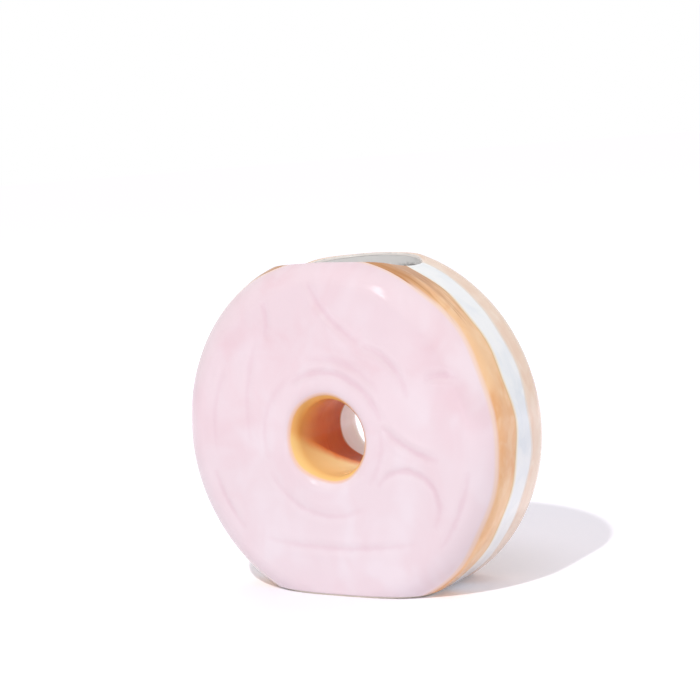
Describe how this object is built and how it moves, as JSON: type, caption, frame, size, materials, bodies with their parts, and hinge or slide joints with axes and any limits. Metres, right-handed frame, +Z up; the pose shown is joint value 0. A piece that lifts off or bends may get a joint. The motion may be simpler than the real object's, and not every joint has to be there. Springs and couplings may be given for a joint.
{
  "type": "ring-shaped ceramic vase",
  "caption": "Hollow ring vase in glazed ceramic, shaped and coloured like an iced, cream-filled ring cake, with an oval mouth on top and a flat foot.",
  "frame": {"origin": "middle of the foot, on the surface that the vase stands on", "axes": "+Z up, the iced front faces -Y, +X to the right seen from the front; the ring's axis lies along Y"},
  "size_m": [0.19, 0.0711, 0.1743],
  "materials": {
    "bisque": "matte unglazed",
    "white_liner": "gloss white glaze",
    "pink_icing": "gloss brushed pink glaze",
    "caramel_dough": "gloss caramel glaze",
    "white_cream": "gloss white glaze",
    "pale_dough": "gloss pale caramel glaze"
  },
  "bodies": {
    "root": {"ceramic_body": "bisque", "liner_glaze": "white_liner", "icing_glaze": "pink_icing", "front_dough_glaze_left": "caramel_dough", "front_dough_glaze_right": "caramel_dough", "cream_glaze_left": "white_cream", "cream_glaze_right": "white_cream", "rear_dough_glaze": "pale_dough", "hole_glaze": "caramel_dough"}
  },
  "joints": []
}
